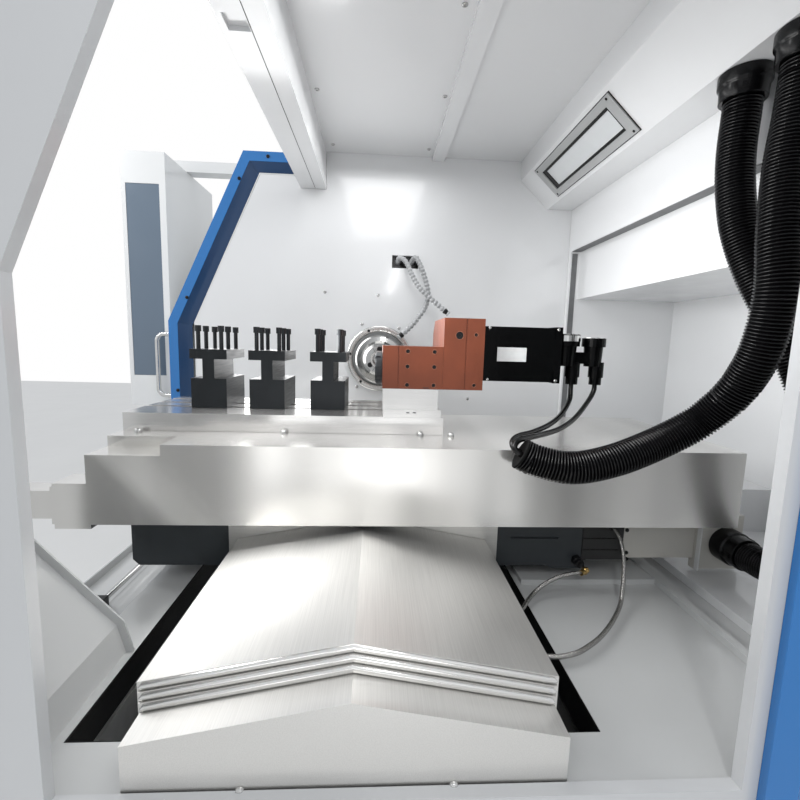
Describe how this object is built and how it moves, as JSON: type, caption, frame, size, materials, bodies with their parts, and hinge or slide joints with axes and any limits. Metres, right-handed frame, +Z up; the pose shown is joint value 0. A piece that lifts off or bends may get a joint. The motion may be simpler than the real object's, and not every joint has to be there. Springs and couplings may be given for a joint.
{
  "type": "cnc turning lathe",
  "caption": "Flat-bed turning lathe with an enclosed work area, spindle chuck, gang tool slide with T-slots, driven tool head, telescopic way covers and sliding door.",
  "frame": {"origin": "centre of the footprint on the floor", "axes": "+X along the spindle axis, away from the headstock; the operator stands on the -Y side; +Z up"},
  "size_m": [2.1366, 1.96, 1.7623],
  "materials": {
    "base": "grey paint",
    "bed": "painted casting with ground rails",
    "z_screw": "ground",
    "z_servo_motor": "black",
    "z_cover_large": "stainless sheet",
    "z_cover_mid_1": "stainless sheet",
    "z_cover_mid_2": "stainless sheet",
    "z_cover_fixed": "stainless sheet",
    "head_cover_large": "stainless sheet",
    "head_cover_mid": "stainless sheet",
    "head_cover_fixed": "stainless sheet",
    "pan_deck": "gloss white",
    "headstock": "grey paint",
    "spindle": "ground",
    "chuck": "polished steel",
    "headstock_wall": "gloss white",
    "rear_wall": "gloss white",
    "roof_panel": "gloss white",
    "lamp_beam": "gloss white",
    "lamp_frame": "grey",
    "lamp_glass": "clear",
    "right_end_panel": "gloss white",
    "end_trim": "blue",
    "front_fixed_panel": "gloss white",
    "headstock_cover": "gloss white",
    "electric_cabinet": "gloss white",
    "door_panel": "gloss white",
    "door_window": "clear",
    "door_trim": "blue",
    "door_handle": "satin",
    "door_rail": "ground",
    "saddle": "dark grey paint",
    "x_screw": "ground",
    "x_servo_motor": "black",
    "cable_box": "cream",
    "conduit_cuff_1": "black",
    "conduit_cuff_2": "black",
    "conduit_cuff_3": "black",
    "slide_casting": "dark grey paint",
    "slide_cover": "stainless sheet",
    "slot_table": "ground",
    "tool_post_1": "black oxide",
    "tool_post_2": "black oxide",
    "tool_post_3": "black oxide",
    "head_riser": "milled",
    "head_block_small": "copper red",
    "head_block_big": "copper red",
    "live_nut": "black oxide",
    "head_servo": "black",
    "console_housing": "gloss white",
    "stop_button": "red",
    "conduit_1_upper": "black",
    "conduit_1_lower": "black",
    "conduit_2": "black",
    "motor_cable_1": "black",
    "motor_cable_2": "black",
    "coolant_hose_a": "grey",
    "coolant_hose_b": "grey",
    "braided_hose_1": "braided",
    "braided_hose_2": "braided"
  },
  "bodies": {
    "enclosure": {"base": "base", "bed": "bed", "z_servo_motor": "z_servo_motor", "z_cover_fixed": "z_cover_fixed", "head_cover_fixed": "head_cover_fixed", "pan_deck": "pan_deck", "headstock": "headstock", "headstock_wall": "headstock_wall", "rear_wall": "rear_wall", "roof_panel": "roof_panel", "lamp_beam": "lamp_beam", "lamp_frame": "lamp_frame", "lamp_glass": "lamp_glass", "right_end_panel": "right_end_panel", "end_trim": "end_trim", "front_fixed_panel": "front_fixed_panel", "headstock_cover": "headstock_cover", "electric_cabinet": "electric_cabinet", "door_rail": "door_rail", "conduit_cuff_1": "conduit_cuff_1", "conduit_cuff_2": "conduit_cuff_2", "console_housing": "console_housing", "conduit_1_upper": "conduit_1_upper", "coolant_hose_a": "coolant_hose_a", "coolant_hose_b": "coolant_hose_b"},
    "z_carriage": {"saddle": "saddle", "z_cover_large": "z_cover_large", "head_cover_large": "head_cover_large", "x_servo_motor": "x_servo_motor", "cable_box": "cable_box", "conduit_cuff_3": "conduit_cuff_3", "braided_hose_1": "braided_hose_1", "braided_hose_2": "braided_hose_2", "conduit_2": "conduit_2"},
    "z_stage_1": {"z_cover_mid_1": "z_cover_mid_1"},
    "z_stage_2": {"z_cover_mid_2": "z_cover_mid_2"},
    "head_stage": {"head_cover_mid": "head_cover_mid"},
    "z_drive_screw": {"z_screw": "z_screw"},
    "x_drive_screw": {"x_screw": "x_screw"},
    "x_slide": {"slide_casting": "slide_casting", "slide_cover": "slide_cover", "slot_table": "slot_table", "tool_post_1": "tool_post_1", "tool_post_2": "tool_post_2", "tool_post_3": "tool_post_3", "head_riser": "head_riser", "head_block_small": "head_block_small", "head_block_big": "head_block_big", "head_servo": "head_servo", "motor_cable_1": "motor_cable_1", "motor_cable_2": "motor_cable_2", "conduit_1_lower": "conduit_1_lower"},
    "spindle_group": {"spindle": "spindle", "chuck": "chuck"},
    "live_tool": {"live_nut": "live_nut"},
    "door": {"door_panel": "door_panel", "door_window": "door_window", "door_trim": "door_trim", "door_handle": "door_handle"},
    "stop": {"stop_button": "stop_button"}
  },
  "joints": [
    {"name": "z_travel", "type": "slide", "parent": "enclosure", "child": "z_carriage", "axis": [-1, 0, 0], "range_m": [0, 0.28], "deforming": ["conduit_2", "conduit_1_upper"]},
    {"name": "z_stage_1_slide", "type": "slide", "parent": "enclosure", "child": "z_stage_1", "axis": [-1, 0, 0], "range_m": [0, 0.18667]},
    {"name": "z_stage_2_slide", "type": "slide", "parent": "enclosure", "child": "z_stage_2", "axis": [-1, 0, 0], "range_m": [0, 0.09333]},
    {"name": "head_stage_slide", "type": "slide", "parent": "enclosure", "child": "head_stage", "axis": [-1, 0, 0], "range_m": [0, 0.14]},
    {"name": "z_screw_turn", "type": "hinge", "parent": "enclosure", "child": "z_drive_screw", "pos_m": [0.37, -0.08, 0.64], "axis": [1, 0, 0], "range_deg": [0, 10081]},
    {"name": "x_travel", "type": "slide", "parent": "z_carriage", "child": "x_slide", "axis": [0, 1, 0], "range_m": [0, 0.32], "deforming": ["conduit_1_lower"]},
    {"name": "x_screw_turn", "type": "hinge", "parent": "z_carriage", "child": "x_drive_screw", "pos_m": [0.49, 0, 0.7], "axis": [0, 1, 0], "range_deg": [0, 11521]},
    {"name": "spindle_turn", "type": "hinge", "parent": "enclosure", "child": "spindle_group", "pos_m": [-0.066, -0.052, 1.036], "axis": [1, 0, 0], "continuous": true},
    {"name": "live_tool_turn", "type": "hinge", "parent": "x_slide", "child": "live_tool", "pos_m": [0.49, -0.048, 1.036], "axis": [0, 1, 0], "continuous": true},
    {"name": "door_slide", "type": "slide", "parent": "enclosure", "child": "door", "axis": [1, 0, 0], "range_m": [0, 0.94]},
    {"name": "stop_press", "type": "slide", "parent": "enclosure", "child": "stop", "axis": [0, 1, 0], "range_m": [0, 0.004], "stiffness_N_per_m": 800}
  ],
  "couplings": [
    {"joint": "z_stage_1_slide", "follows": "z_travel", "ratio": 0.66667},
    {"joint": "z_stage_2_slide", "follows": "z_travel", "ratio": 0.33333},
    {"joint": "head_stage_slide", "follows": "z_travel", "ratio": 0.5},
    {"joint": "z_screw_turn", "follows": "z_travel", "rad_per_m": 628.32},
    {"joint": "x_screw_turn", "follows": "x_travel", "rad_per_m": 628.32}
  ]
}
